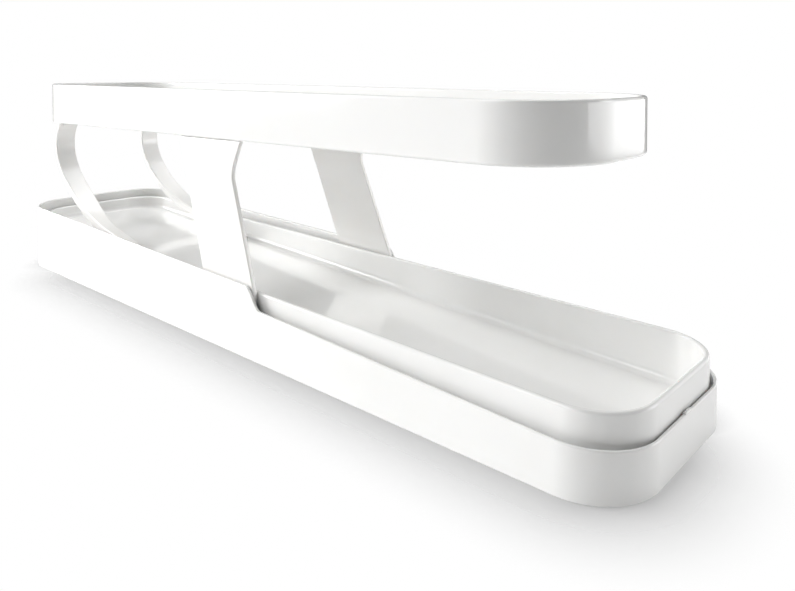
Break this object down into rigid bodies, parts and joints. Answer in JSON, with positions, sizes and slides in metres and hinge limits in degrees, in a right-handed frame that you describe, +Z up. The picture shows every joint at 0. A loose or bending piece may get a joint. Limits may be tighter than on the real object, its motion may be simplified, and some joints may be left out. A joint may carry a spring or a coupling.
{
  "type": "egg dispenser",
  "caption": "White plastic roll-down egg dispenser: an upper tray over a ramped lower tray in a base, with side supports and curved rear guides.",
  "frame": {"origin": "on the shelf, under the middle of the base tray", "axes": "+X to the low front end, where the food is taken out; +Y to the far long side; +Z up"},
  "size_m": [0.38, 0.085, 0.1078],
  "materials": {
    "white_plastic": "glossy white injection-moulded plastic",
    "pad_rubber": "soft translucent-white non-slip pad"
  },
  "bodies": {
    "base": {"base_tray": "white_plastic", "foot_pad_front_near": "pad_rubber", "foot_pad_front_far": "pad_rubber", "foot_pad_rear_near": "pad_rubber", "foot_pad_rear_far": "pad_rubber"},
    "lower_rack": {"lower_ramp_tray": "white_plastic"},
    "upper_rack": {"upper_ramp_tray": "white_plastic", "side_support_near": "white_plastic", "side_support_far": "white_plastic", "rear_guide_near": "white_plastic", "rear_guide_far": "white_plastic"}
  },
  "joints": [
    {"name": "lower_rack_lift", "type": "slide", "parent": "base", "child": "lower_rack", "axis": [0, 0, 1], "range_m": [0, 0.045]},
    {"name": "upper_rack_lift", "type": "slide", "parent": "lower_rack", "child": "upper_rack", "axis": [0, 0, 1], "range_m": [0, 0.045]}
  ]
}
